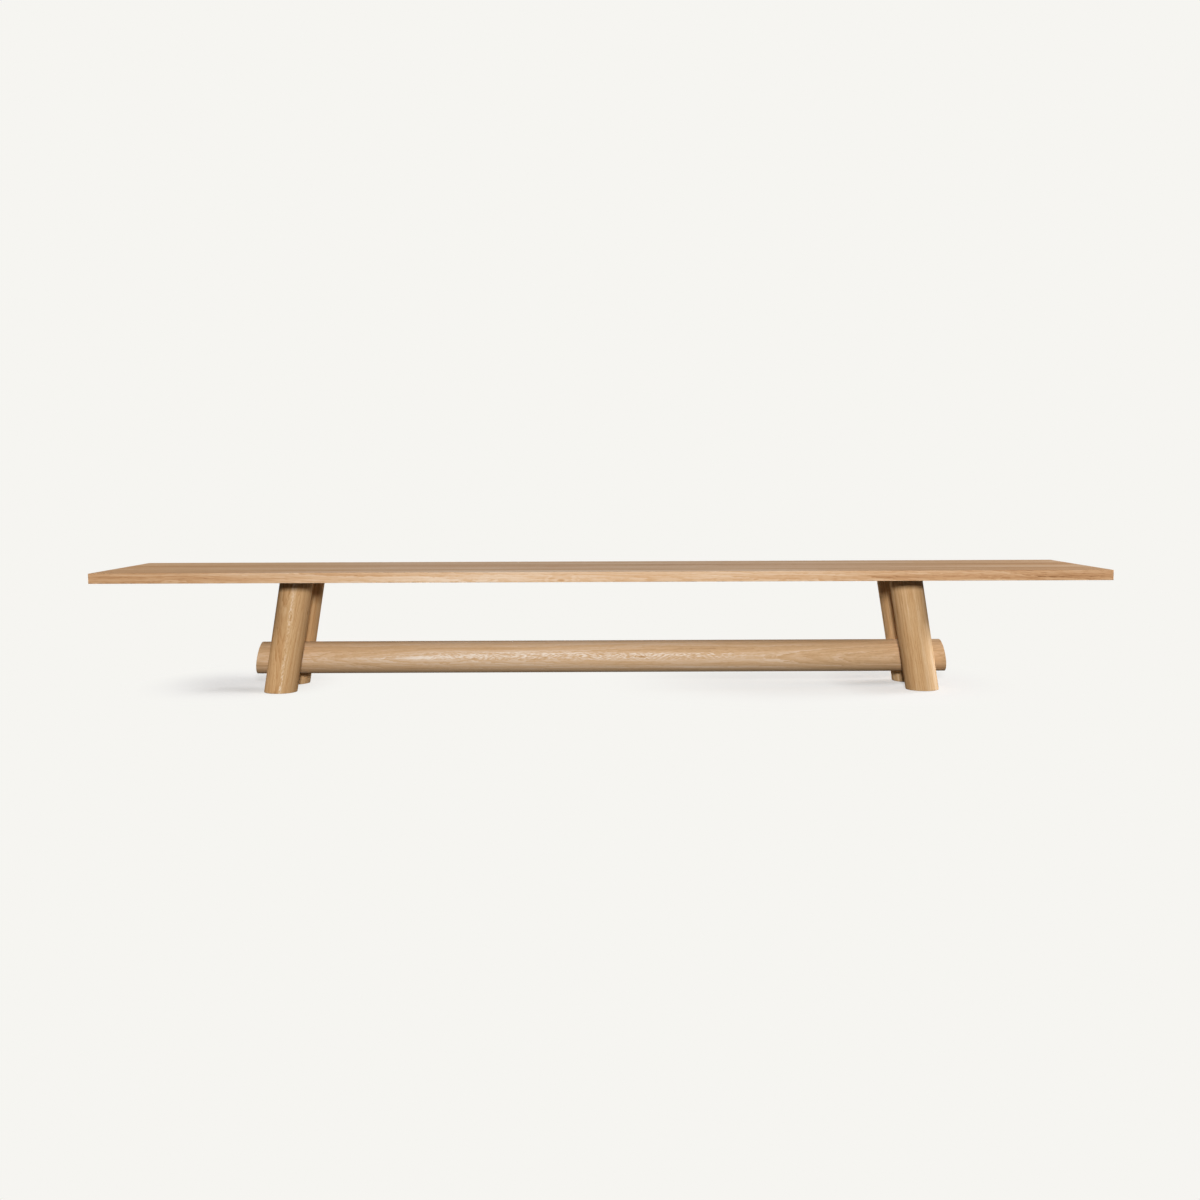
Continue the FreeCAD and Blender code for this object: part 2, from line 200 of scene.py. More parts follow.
def paper_floor():
    material = bpy.data.materials.new("studio_paper")
    material.use_nodes = True
    tree = material.node_tree
    tree.nodes.clear()
    spot = add(tree, "ShaderNodeTexCoord").outputs["Object"]
    share = 0.0
    for middle, reach, most in POOLS:
        pool = add(tree, "ShaderNodeMapping", {"Vector": spot, "Location": middle, "Scale": reach},
                   vector_type="TEXTURE").outputs[0]
        away = add(tree, "ShaderNodeVectorMath", {0: pool}, operation="LENGTH").outputs["Value"]
        inside = add(tree, "ShaderNodeMapRange", {0: away, 1: POOL_CORE, 2: 1.0, 3: most, 4: 0.0},
                     interpolation_type="SMOOTHSTEP").outputs[0]
        share = add(tree, "ShaderNodeMath", {0: inside, 1: share}, operation="MAXIMUM").outputs[0]
    matt = add(tree, "ShaderNodeBsdfDiffuse", {"Color": [v / POOL_LIGHT for v in MATT_PAPER[:3]] + [1.0]})
    plain = add(tree, "ShaderNodeEmission", {"Color": PAPER})
    shown = add(tree, "ShaderNodeMixShader", {0: share, 1: plain.outputs[0], 2: matt.outputs[0]})
    under = add(tree, "ShaderNodeBsdfDiffuse", {"Color": UNDERLIGHT})
    both = add(tree, "ShaderNodeMixShader", {0: plain_sight(tree), 1: under.outputs[0], 2: shown.outputs[0]})
    add(tree, "ShaderNodeOutputMaterial", {"Surface": both.outputs[0]})
    return material


print("pools of matt paper:", len(POOLS))

# %% [markdown]
# The floor is one flat square of forty metres, so its edge is far off in every view. A bent backdrop
# would need a wall behind the table, but here the world shows the same paper colour.

# %% Lay the floor
FLOOR_REACH = 20.0

sheet = bmesh.new()
bmesh.ops.create_grid(sheet, x_segments=1, y_segments=1, size=FLOOR_REACH)
mesh = bpy.data.meshes.new("studio_floor")
sheet.to_mesh(mesh)
sheet.free()
mesh.materials.append(paper_floor())
floor = bpy.data.objects.new("studio_floor", mesh)
bpy.context.scene.collection.objects.link(floor)
print("floor side in metres:", 2 * FLOOR_REACH)

# %% [markdown]
# ## Soft lamps
#
# Three things in the photograph tell where the lamps stood. The shadow that the top throws on the legs is
# short, so the main lamp stood low. The front legs darken only a narrow strip of the legs behind them, so
# it stood near the camera. The right legs have a bright, cool edge on their right, but only on the lower
# half, so daylight came from beyond the right end and shone under the top: the rim lamp does that here. A
# right lamp of the same colour lights the right end of the top. A weaker one on the left, one for the
# left end of the stretcher, two over the ends of the top and one behind the table complete the set. An
# area lamp gives such soft light without more ado. Its power is worked out from the brightness it should
# give at the table, so that oak shows about the colour written. The lamps do not mirror in the oil, so no
# view has a burnt-out spot on the top.

# %% Hang the lamps
WHITE, COOL = (1.0, 1.0, 1.0), (0.90, 1.0, 1.20)
LAMPS = {
    # place, target, width and height in metres, level, colour
    "main_lamp": ((0.15, -9.5, 2.72), (0.0, -0.3, 0.45), (0.8, 1.0), 0.94, WHITE),
    "right_lamp": ((6.5, -1.1, 1.9), (2.0, -0.2, 0.3), (1.0, 0.6), 0.72, COOL),
    "rim_lamp": ((6.5, 0.4, 1.9), (2.0, -0.2, 0.3), (1.0, 0.6), 1.45, COOL),
    "left_lamp": ((-6.5, -1.1, 1.9), (-2.0, -0.2, 0.3), (1.0, 0.6), 0.32, WHITE),
    "stub_lamp": ((-6.5, 0.8, 0.9), (-2.2, 0.0, 0.19), (1.0, 0.6), 0.32, WHITE),
    "left_end_lamp": ((-3.2, 0.6, 2.4), (-2.6, 0.0, 0.755), (1.0, 1.0), 0.17, WHITE),
    "right_end_lamp": ((3.2, 0.6, 2.4), (2.6, 0.0, 0.755), (1.0, 1.0), 0.15, WHITE),
    "back_lamp": ((0.3, 5.2, 0.75), (0.0, 0.3, 0.4), (3.0, 0.8), 0.80, WHITE),
}


def soft_lamp(name, place, target, size, level, colour):
    """A lamp that lights a matt white card at its target to this level."""
    bulb = bpy.data.lights.new(name, "AREA")
    bulb.color = colour
    bulb.shape = "RECTANGLE"
    bulb.size, bulb.size_y = size
    aim = Vector(target) - Vector(place)
    bulb.energy = level * math.pi ** 2 * aim.length_squared
    lamp = bpy.data.objects.new(name, bulb)
    lamp.location = place
    lamp.rotation_euler = aim.to_track_quat("-Z", "Y").to_euler()
    lamp.visible_camera = False
    lamp.visible_glossy = False
    bpy.context.scene.collection.objects.link(lamp)
    return lamp


lamps = {name: soft_lamp(name, *given) for name, given in LAMPS.items()}
print("lamps:", list(lamps))

# %% [markdown]
# In a studio, flags keep a lamp's light off what it should not reach. Light linking does the same here.
# Of these lamps only the main one reaches the floor, because the others would burn out the paper beside
# the feet. The left lamp leaves out the stretcher and the right legs. The stub lamp stands further back
# and lights the left end of the stretcher instead, so that the front of this end stays in shade. The
# right lamp leaves out the stretcher and all legs, because the rim lamp lights the stretcher and the
# right legs, and nothing else.

# %% Flags
LEGS = {side: [nodes[f"leg_front_{side}"], nodes[f"leg_rear_{side}"]] for side in ("left", "right")}
BEAM = nodes["stretcher"]
LEFT_OUT = {
    "left_lamp": [floor, BEAM] + LEGS["right"],
    "right_lamp": [floor, BEAM] + LEGS["left"] + LEGS["right"],
    "left_end_lamp": [floor],
    "right_end_lamp": [floor],
    "back_lamp": [floor],
}
LIT = {"rim_lamp": [BEAM] + LEGS["right"], "stub_lamp": [BEAM]}


def light_group(name, pieces, state="INCLUDE"):
    """A group for light linking: the only pieces that a lamp lights, or with EXCLUDE those it leaves out."""
    group = bpy.data.collections.new(name)
    for piece in pieces:
        group.objects.link(piece)
    for entry in group.collection_objects:
        entry.light_linking.link_state = state
    return group


for name, pieces in LEFT_OUT.items():
    lamps[name].light_linking.receiver_collection = light_group("left_out_by_" + name, pieces, "EXCLUDE")
for name, pieces in LIT.items():
    lamps[name].light_linking.receiver_collection = light_group("lit_by_" + name, pieces)
print("pieces left out:", {name: len(pieces) for name, pieces in LEFT_OUT.items()})

# %% [markdown]
# The shadow of each foot lies to its left, as a low light from the right draws it. On the left it also
# runs to the rear, and on the right to the front. A lamp close by would spread the shadows like that, but
# its light would fall on the legs too. So each pair of feet gets a sun of its own, which lights the floor
# and nothing else, and only these two legs and the stretcher stand in its way.

# %% The shadow of the feet
SHADOW_SLOPE = math.radians(24)
SHADOW_SOFT = math.radians(34)
SHADOWS = {
    # turn to the rear, level on the floor
    "left": (0.40, 0.20),
    "right": (-0.40, 0.26),
}

for side, (turn, level) in SHADOWS.items():
    bulb = bpy.data.lights.new(f"shadow_sun_{side}", "SUN")
    bulb.angle = SHADOW_SOFT
    bulb.energy = level * math.pi / math.sin(SHADOW_SLOPE)
    sun = bpy.data.objects.new(f"shadow_sun_{side}", bulb)
    travel = Vector((-math.cos(SHADOW_SLOPE), turn, -math.sin(SHADOW_SLOPE)))
    sun.rotation_euler = travel.to_track_quat("-Z", "Y").to_euler()
    bpy.context.scene.collection.objects.link(sun)
    sun.light_linking.receiver_collection = light_group("lit_by_" + sun.name, [floor])
    sun.light_linking.blocker_collection = light_group("in_the_way_of_" + sun.name, [BEAM] + LEGS[side])
    print(sun.name, "is stopped by the stretcher and", [piece.name for piece in LEGS[side]])

# %% [markdown]
# ## How oak grows
#
# Oak is a ring-porous wood. Each year begins with a belt of wide pores, which looks dark once it is
# oiled, and ends with dense pale wood. A sawn face cuts these rings at a slant, and that gives straight
# lines on a quartered face and flames, or cathedrals, where the face runs along a ring. A picture of a
# board would show this on one face only. A solid pattern is better: rings are drawn in space about the
# pith of the tree, and every face then cuts them by itself, end grain too.
#
# The first cell puts the coordinates in the grain: X runs along the fibres, and Y and Z start at the
# pith.

# %% Coordinates along the grain
def grain_place(tree, pith, turn):
    spot = add(tree, "ShaderNodeTexCoord").outputs["Object"]
    return add(tree, "ShaderNodeMapping", {"Vector": spot, "Location": pith, "Rotation": turn},
               vector_type="TEXTURE").outputs[0]


def in_the_grain(place, pith, turn):
    """A place in the table, told in the coordinates of the grain."""
    return Euler(turn).to_matrix().transposed() @ (Vector(place) - Vector(pith))


def distance(tree, grain, place, scale):
    """How far each point of the wood lies from a place in the grain, with every axis scaled."""
    apart = add(tree, "ShaderNodeVectorMath", {0: grain, 1: place}, operation="SUBTRACT").outputs[0]
    scaled = add(tree, "ShaderNodeVectorMath", {0: apart, 1: scale}, operation="MULTIPLY").outputs[0]
    return add(tree, "ShaderNodeVectorMath", {0: scaled}, operation="LENGTH").outputs["Value"]


def drawn_out(tree, grain, length_mm, width_mm, seed, detail=2.0):
    """Blotches drawn out along the fibres, as long and as wide as the two sizes say."""
    sizes = (1000 / length_mm, 1000 / width_mm, 1000 / width_mm)
    stretched = add(tree, "ShaderNodeVectorMath", {0: grain, 1: sizes}, operation="MULTIPLY").outputs[0]
    return add(tree, "ShaderNodeTexNoise", {"Vector": stretched, "W": seed, "Scale": 1.0, "Detail": detail},
               noise_dimensions="4D").outputs


print("grain helpers are ready")

# %% [markdown]
# The rings are the distance from the pith. Three things keep them from looking like a lathe: the pith
# sways along the tree, the trunk tapers, and the edge of each ring is jagged. Where a knot sits, the
# rings bulge round it. Good years and poor ones come in runs, so the rings also differ in width. Oak
# grows two to four millimetres a year. At six metres across the picture such lines would vanish, so the
# rings here are four millimetres wide, and their jags are as long as a finger.

# %% Year rings
RING = 0.004                        # width of a year in metres
TAPER = 1 / 70
SWAY_SIZE, SWAY = (1300, 240), 0.06     # length and width in mm, and reach in metres
JAG_SIZE, JAG = (55, 8), 0.008          # the same for the jags
JAG_DETAIL = 3.0
KNOT_BULGE = 0.012
RUN_OF_YEARS, UNEVEN = 0.35, 0.9        # runs per year, and how many years they shift a ring


def year_rings(tree, grain, seed, bulge=None):
    """Gives the share of the year that has passed, and a tone for each year."""
    sway = drawn_out(tree, grain, *SWAY_SIZE, seed)["Color"]
    bent = add(tree, "ShaderNodeVectorMath", {0: sway, 1: (0.0, SWAY, SWAY), 2: grain},
               operation="MULTIPLY_ADD").outputs[0]
    flat = add(tree, "ShaderNodeVectorMath", {0: bent, 1: (0.0, 1.0, 1.0)}, operation="MULTIPLY").outputs[0]
    radius = add(tree, "ShaderNodeVectorMath", {0: flat}, operation="LENGTH").outputs["Value"]
    along = add(tree, "ShaderNodeSeparateXYZ", {0: grain}).outputs["X"]
    jag = drawn_out(tree, grain, *JAG_SIZE, seed + 1, JAG_DETAIL)["Fac"]
    moves = [(along, TAPER), (jag, JAG)]
    if bulge:
        moves.append((bulge, KNOT_BULGE))
    for move, size in moves:
        radius = add(tree, "ShaderNodeMath", {0: move, 1: size, 2: radius},
                     operation="MULTIPLY_ADD").outputs[0]
    years = add(tree, "ShaderNodeMath", {0: radius, 1: RING}, operation="DIVIDE").outputs[0]
    slow = add(tree, "ShaderNodeMath", {0: years, 1: RUN_OF_YEARS}, operation="MULTIPLY").outputs[0]
    pace = add(tree, "ShaderNodeTexNoise", {"W": slow, "Scale": 1.0, "Detail": 1.0}, noise_dimensions="1D")
    years = add(tree, "ShaderNodeMath", {0: pace.outputs["Fac"], 1: UNEVEN, 2: years},
                operation="MULTIPLY_ADD").outputs[0]
    share = add(tree, "ShaderNodeMath", {0: years}, operation="FRACT").outputs[0]
    number = add(tree, "ShaderNodeMath", {0: years}, operation="FLOOR").outputs[0]
    tone = add(tree, "ShaderNodeTexWhiteNoise", {"W": number}, noise_dimensions="1D").outputs["Value"]
    return share, tone


print("ring width in mm:", RING * 1000)

# %% [markdown]
# A knot is a branch that the trunk grew round. Each one is a place in the table, and two numbers follow
# from the distance to it: how far the rings give way, and how dark the heart of the knot is. A cut
# through a knot is drawn out along the fibres, so the distance counts for less that way.

# %% Knots
KNOT_SCALE = (0.35, 1.0, 1.0)
BULGE_REACH = 4         # in radii of the knot
HEART_CORE = 0.3        # the share of the radius within which the heart is fully dark


def knotted(tree, grain, pith, turn, knots):
    """Gives the bulge round the nearest knot and the dark of its heart."""
    bulge, heart = None, None
    for place, radius in knots:
        away = distance(tree, grain, in_the_grain(place, pith, turn), KNOT_SCALE)
        wide = add(tree, "ShaderNodeMapRange", {0: away, 1: 0.0, 2: radius * BULGE_REACH, 3: 1.0, 4: 0.0},
                   interpolation_type="SMOOTHSTEP").outputs[0]
        core = add(tree, "ShaderNodeMapRange", {0: away, 1: radius * HEART_CORE, 2: radius, 3: 1.0, 4: 0.0},
                   interpolation_type="SMOOTHSTEP").outputs[0]
        if bulge:
            wide = add(tree, "ShaderNodeMath", {0: bulge, 1: wide}, operation="MAXIMUM").outputs[0]
            core = add(tree, "ShaderNodeMath", {0: heart, 1: core}, operation="MAXIMUM").outputs[0]
        bulge, heart = wide, core
    return bulge, heart


print("a knot's bulge reaches", BULGE_REACH, "radii")

# %% [markdown]
# The legs and the stretcher are turned from beams that were sawn beside the heart, so the pith lies
# behind them. Along the line that faces away from the pith, the turned surface runs with a ring. There
# the dense late wood comes out in pale flecks that slant to one side and then to the other, strung along
# the piece like a flame. Rings alone would draw closed loops there, like the lines of a map. So the
# flecks get a pattern of their own: two sets of dashes with opposite slant, which take turns along the
# piece. Seen from the pith, the flame is where the place across is zero.

# %% The flame of a turned beam
SLANT = 0.22
DRIFT_SIZE = (700, 300)             # in mm: how the flame wanders
BAND_FADE = (0.1, 0.85)             # in widths of the flame
FACING_OUT = (-0.24, -0.19)         # in metres from the pith: all of the flame, and none of it
FLECK_SIZE = (700, 120)             # in mm for each metre of the flame's width
TURN_LENGTH, TURN_WIDTH = 4000, 400     # the first for each metre of the width, the second in mm
TURN_EDGE = (0.46, 0.54)
FLECK_EDGE, FLECK_LEVELS = (0.40, 0.60), (-0.4, 1.0)


def flame_band(tree, grain, width, seed):
    """Gives the soft band of a flame that is this wide."""
    place = add(tree, "ShaderNodeSeparateXYZ", {0: grain}).outputs
    drift = drawn_out(tree, grain, *DRIFT_SIZE, seed + 7)["Fac"]
    drift = add(tree, "ShaderNodeMath", {0: drift, 1: 0.5}, operation="SUBTRACT").outputs[0]
    across = add(tree, "ShaderNodeMath", {0: drift, 1: width / 2, 2: place["Z"]},
                 operation="MULTIPLY_ADD").outputs[0]
    off = add(tree, "ShaderNodeMath", {0: across}, operation="ABSOLUTE").outputs[0]
    start, end = [width * share for share in BAND_FADE]
    band = add(tree, "ShaderNodeMapRange", {0: off, 1: start, 2: end, 3: 1.0, 4: 0.0},
               interpolation_type="SMOOTHSTEP").outputs[0]
    outside = add(tree, "ShaderNodeMapRange", {0: place["Y"], 1: FACING_OUT[0], 2: FACING_OUT[1],
                                               3: 1.0, 4: 0.0}).outputs[0]
    return add(tree, "ShaderNodeMath", {0: band, 1: outside}, operation="MULTIPLY").outputs[0]


def flame_flecks(tree, grain, band, width, seed):
    """Gives the flecks of a flame that is this wide, within its band."""
    place = add(tree, "ShaderNodeSeparateXYZ", {0: grain}).outputs
    along = add(tree, "ShaderNodeCombineXYZ", {"Z": place["X"]}).outputs[0]
    length, thickness = [width * size for size in FLECK_SIZE]
    dashes = []
    for slant in (-SLANT, SLANT):
        leaning = add(tree, "ShaderNodeVectorMath", {0: along, 1: (0.0, 0.0, slant), 2: grain},
                      operation="MULTIPLY_ADD").outputs[0]
        dashes.append(drawn_out(tree, leaning, length, thickness, seed + 8, 1.0)["Fac"])
    turns = drawn_out(tree, grain, width * TURN_LENGTH, TURN_WIDTH, seed + 9)["Fac"]
    turns = add(tree, "ShaderNodeMapRange", {0: turns, 1: TURN_EDGE[0], 2: TURN_EDGE[1]}).outputs[0]
    flecks = add(tree, "ShaderNodeMix", {0: turns, 2: dashes[0], 3: dashes[1]}).outputs[0]
    flecks = add(tree, "ShaderNodeMapRange", {0: flecks, 1: FLECK_EDGE[0], 2: FLECK_EDGE[1],
                                              3: FLECK_LEVELS[0], 4: FLECK_LEVELS[1]}).outputs[0]
    return add(tree, "ShaderNodeMath", {0: flecks, 1: band}, operation="MULTIPLY").outputs[0]


print("slant of the flecks in degrees:", round(math.degrees(math.atan(SLANT)), 1))

# %% [markdown]
# ## The oiled oak itself
#
# Every pattern gives a brightness, and each gets a weight. The sum picks a colour from one ramp, from the
# brown of an oiled pore to the pinkish cream of dense late wood. Pale oak is greyer and dark oak is
# redder, so a ramp looks more like wood than a colour made lighter and darker. The legs come from a
# yellower tree than the stretcher and the top. A second ramp gives the brightness of one year, from the
# dark early wood to the pale late wood.

# %% The colours of oiled oak
BEAM_OAK = [
    (0.00, linear("#6E4D30")),
    (0.20, linear("#A37E58")),
    (0.40, linear("#BF9A72")),
    (0.60, linear("#CEAA83")),
    (0.80, linear("#DABFA3")),
    (1.00, linear("#ECDCCB")),
]
LEG_OAK = [
    (0.00, linear("#6A4627")),
    (0.20, linear("#A27545")),
    (0.40, linear("#BC9062")),
    (0.60, linear("#CDA678")),
    (0.80, linear("#DABA94")),
    (1.00, linear("#E8D1B5")),
]
TOP_OAK = [
    (0.00, linear("#6E4A2C")),
    (0.20, linear("#A87C55")),
    (0.40, linear("#C0966E")),
    (0.60, linear("#CEAB87")),
    (0.80, linear("#DABFA3")),
    (1.00, linear("#E6D2BC")),
]
YEAR = [(0.0, 0.25), (0.06, 0.0), (0.28, 0.15), (0.5, 0.8), (0.8, 1.0), (0.96, 0.9), (1.0, 0.25)]
print("oak stops:", len(BEAM_OAK), len(LEG_OAK), len(TOP_OAK))

# %% [markdown]
# Every piece of oak has six patterns: the course of the year, a tone for each year, clouds as broad as a
# board, long streaks, fine fibres and short dark pores. A picture of wood would repeat on a table of six
# metres, so all but the first two are noise, drawn out along the fibres to a size of its own. Pores crowd
# in the early wood, and the late wood keeps a quarter of them. Real pores are a third of a millimetre
# wide and fibres finer still, which would not show, so both are drawn coarser.

# %% The patterns of every piece
STREAK, CLOUD, PORE = (1800, 28), (1000, 160), (45, 1.6)    # length and width in mm
FIBRE_LENGTH, FIBRE_WIDTH = 450, 6
PORE_EDGE = (0.56, 0.66)
LATE_WOOD, LATE_PORES = 0.9, 0.25       # the year's brightness in late wood, and the share of pores there


def wood_patterns(tree, grain, seed, bulge, fibre_length):
    """Gives each pattern as a brightness from 0 to 1."""
    share, year_tone = year_rings(tree, grain, seed, bulge)
    greys = [(position, (value, value, value, 1.0)) for position, value in YEAR]
    year = add(tree, "ShaderNodeValToRGB", {0: share}, stops=greys).outputs[0]
    fibres = drawn_out(tree, grain, fibre_length, FIBRE_WIDTH, seed + 3)["Fac"]
    streaks = drawn_out(tree, grain, *STREAK, seed + 4)["Fac"]
    clouds = drawn_out(tree, grain, *CLOUD, seed + 5)["Fac"]
    lines = drawn_out(tree, grain, *PORE, seed + 6)["Fac"]
    pores = add(tree, "ShaderNodeMapRange", {0: lines, 1: PORE_EDGE[0], 2: PORE_EDGE[1]}).outputs[0]
    early = add(tree, "ShaderNodeMapRange", {0: year, 1: 0.0, 2: LATE_WOOD,
                                             3: 1.0, 4: LATE_PORES}).outputs[0]
    pores = add(tree, "ShaderNodeMath", {0: pores, 1: early}, operation="MULTIPLY").outputs[0]
    return {"year": year, "year_tone": year_tone, "clouds": clouds, "fibres": fibres, "streaks": streaks,
            "pores": pores}


print("pores and fibres are drawn", PORE[1], "and", FIBRE_WIDTH, "mm wide")

# %% [markdown]
# Some pieces have more: a flame, a smooth pale spindle where the cut just touches one broad ring, or a
# middle that is paler than the ends and keeps the flame's flecks to itself. These depend on the distance
# from a place, so they need no more than a fade from one distance to another.

# %% The patterns of some pieces
BAND, FLECKS, SPINDLE = 0.08, 0.30, 0.30        # weights
FLECK_FADE, FLECKS_LEFT = (0.7, 1.15), 0.2      # in metres from the pale middle, and the share left beyond
PALE_FADE = (0.4, 2.5)                          # in metres from the pale middle


def off_middle(tree, middle):
    """How far each point lies from this middle, measured along the table."""
    spot = add(tree, "ShaderNodeTexCoord").outputs["Object"]
    along = add(tree, "ShaderNodeSeparateXYZ", {0: spot}).outputs["X"]
    off = add(tree, "ShaderNodeMath", {0: along, 1: middle}, operation="SUBTRACT").outputs[0]
    return add(tree, "ShaderNodeMath", {0: off}, operation="ABSOLUTE").outputs[0]


def figure(tree, grain, off, pith, turn, seed, flame_width, spindles, paler):
    """Gives the flame, the spindles and the pale middle of a piece, each with its weight."""
    parts = []
    if flame_width:
        band = flame_band(tree, grain, flame_width, seed)
        flecks = flame_flecks(tree, grain, band, flame_width, seed)
        if paler:
            kept = add(tree, "ShaderNodeMapRange",
                       {0: off, 1: FLECK_FADE[0], 2: FLECK_FADE[1], 3: 1.0, 4: FLECKS_LEFT},
                       interpolation_type="SMOOTHSTEP").outputs[0]
            flecks = add(tree, "ShaderNodeMath", {0: flecks, 1: kept}, operation="MULTIPLY").outputs[0]
        parts += [(band, BAND), (flecks, FLECKS)]
    for place, length, width in spindles:
        middle = in_the_grain(place, pith, turn)
        away = distance(tree, grain, middle, (2 / length, 2 / width, 2 / width))
        spindle = add(tree, "ShaderNodeMapRange", {0: away, 1: 0.0, 2: 1.0, 3: 1.0, 4: 0.0},
                      interpolation_type="SMOOTHSTEP").outputs[0]
        parts.append((spindle, SPINDLE))
    if paler:
        centre = add(tree, "ShaderNodeMapRange",
                     {0: off, 1: PALE_FADE[0], 2: PALE_FADE[1], 3: 0.5, 4: -0.5},
                     interpolation_type="SMOOTHSTEP").outputs[0]
        parts.append((centre, paler))
    return parts


print("weights of band, flecks and spindle:", BAND, FLECKS, SPINDLE)

# %% [markdown]
# End grain is darker on every piece, because the oil soaks in along the fibres. It shows where the
# surface faces along them, and the dot product of the two directions finds it. The oil fills the pores
# only in part, so they take a little bump and stay rougher than the fibres between them. Hands and cloths
# polish the middle of a long table most, so the wood gets duller towards the ends.

# %% End grain and oil
END_FACING = (0.7, 0.95)
ROUGH_FROM, ROUGH = (0.2, 0.8), (0.66, 0.52)    # brightness of the wood, and the roughness that goes with it
WORN_FADE, DULLER = (1.3, 2.6), 0.30            # in metres from the middle, and the roughness added beyond
BUMP, BUMP_HEIGHT = 0.25, 0.0006


def end_grain(tree, turn):
    """Gives 1 where the surface faces along the fibres."""
    fibre_way = Euler(turn).to_matrix() @ Vector((1.0, 0.0, 0.0))
    normal = add(tree, "ShaderNodeNewGeometry").outputs["Normal"]
    facing = add(tree, "ShaderNodeVectorMath", {0: normal, 1: fibre_way}, operation="DOT_PRODUCT")
    facing = add(tree, "ShaderNodeMath", {0: facing.outputs["Value"]}, operation="ABSOLUTE").outputs[0]
    return add(tree, "ShaderNodeMapRange", {0: facing, 1: END_FACING[0], 2: END_FACING[1]},
               interpolation_type="SMOOTHSTEP").outputs[0]


def oiled(tree, total, off, wood, stops, gloss):
    """Turns the brightness of the wood into its colour, roughness and bump."""
    colour = add(tree, "ShaderNodeValToRGB", {0: total}, stops=stops).outputs[0]
    rough = add(tree, "ShaderNodeMapRange", {0: total, 1: ROUGH_FROM[0], 2: ROUGH_FROM[1],
                                             3: ROUGH[0], 4: ROUGH[1]}).outputs[0]
    duller = add(tree, "ShaderNodeMapRange", {0: off, 1: WORN_FADE[0], 2: WORN_FADE[1],
                                              3: 0.0, 4: DULLER}).outputs[0]
    rough = add(tree, "ShaderNodeMath", {0: rough, 1: duller}, operation="ADD").outputs[0]
    height = add(tree, "ShaderNodeMath", {0: wood["pores"], 1: -1.0, 2: wood["fibres"]},
                 operation="MULTIPLY_ADD").outputs[0]
    bump = add(tree, "ShaderNodeBump", {"Height": height, "Strength": BUMP, "Distance": BUMP_HEIGHT})
    skin = add(tree, "ShaderNodeBsdfPrincipled", {"Base Color": colour, "Roughness": rough,
                                                  "Normal": bump.outputs[0], "Specular IOR Level": gloss})
    add(tree, "ShaderNodeOutputMaterial", {"Surface": skin.outputs[0]})


print("roughness of dark and pale oak:", ROUGH)

# %% [markdown]
# One function makes every oak of the table. It adds up the patterns, each times its weight, about the
# tone of the piece. Half of the common weights comes off first, so that these patterns swing to both sides
# of the tone. A piece differs from the next by its pith, its seed and its tone, as boards from different
# trees do.

# %% One oak material
WEIGHTS = {"year": 0.14, "year_tone": 0.14, "clouds": 0.36, "fibres": 0.36, "streaks": 0.50}
PORES, HEART, END_GRAIN = -0.16, -0.30, -0.28   # weights of what darkens the wood
NO_TURN = (0.0, 0.0, 0.0)


def oak(name, stops, pith, turn=NO_TURN, seed=0.0, tone=0.5, fibre=WEIGHTS["fibres"],
        fibre_length=FIBRE_LENGTH, flame_width=0.0, knots=(), spindles=(), pale=(0.0, 0.0), gloss=0.22):
    """Oak with its pith at this place. Pale is the middle of a piece and how much paler that is."""
    material = bpy.data.materials.new(name)
    material.use_nodes = True
    tree = material.node_tree
    tree.nodes.clear()
    grain = grain_place(tree, pith, turn)
    bulge, heart = knotted(tree, grain, pith, turn, knots)
    wood = wood_patterns(tree, grain, seed, bulge, fibre_length)
    weights = {**WEIGHTS, "fibres": fibre}
    parts = [(wood[pattern], weight) for pattern, weight in weights.items()]
    middle, paler = pale
    off = off_middle(tree, middle)
    parts += figure(tree, grain, off, pith, turn, seed, flame_width, spindles, paler)
    parts += [(wood["pores"], PORES), (end_grain(tree, turn), END_GRAIN)]
    if heart:
        parts.append((heart, HEART))
    total = tone - sum(weights.values()) / 2
    for pattern, weight in parts:
        total = add(tree, "ShaderNodeMath", {0: pattern, 1: weight, 2: total},
                    operation="MULTIPLY_ADD").outputs[0]
    oiled(tree, total, off, wood, stops, gloss)
    return material


def dress(node, material):
    """Gives a CAD node its finish in place of the plain one it came with."""
    slots = nodes[node].data.materials
    slots.clear()
    slots.append(material)


print("common weights add up to", round(sum(WEIGHTS.values()), 2))

# %% [markdown]
# ## The top
#
# Seven full-length boards are glued edge to edge. A joiner turns every other board over, so the rings of
# one cup up and of the next cup down. Each board therefore gets its own pith, below or above it. The
# front board is sawn so that its flat figure shows on the front edge, with one small knot left of the
# middle. Its fibres are stronger, and its middle is paler than its ends: partly the board's own tone,
# partly painted light, as the main lamp lights the middle of the front edge most.

# %% Seven boards
BOARD_PITHS = [(-0.360, 0.716), (-0.330, 0.610), (-0.140, 0.845), (0.020, 0.600), (0.120, 0.860),
               (0.350, 0.610), (0.480, 0.850)]
BOARD_TONES = [0.555, 0.42, 0.53, 0.46, 0.38, 0.55, 0.46]
BOARD_SEED = 11.0
FRONT_KNOTS = [((-0.24, -0.548, 0.706), 0.011)]
# The pale middle of the front board is partly the board's own tone and partly painted light: the main lamp
# lights the middle of the front edge most.
FRONT_BOARD = {"knots": FRONT_KNOTS, "fibre": 0.60, "pale": (-0.30, 0.26)}

for count, ((y, z), tone) in enumerate(zip(BOARD_PITHS, BOARD_TONES), start=1):
    extras = FRONT_BOARD if count == 1 else {}
    board = oak(f"oiled_oak_board_{count}", TOP_OAK, (0.0, y, z), seed=BOARD_SEED * count, tone=tone,
                **extras)
    dress(f"top_board_{count}", board)
    print("board", count, "pith at", (y, z))

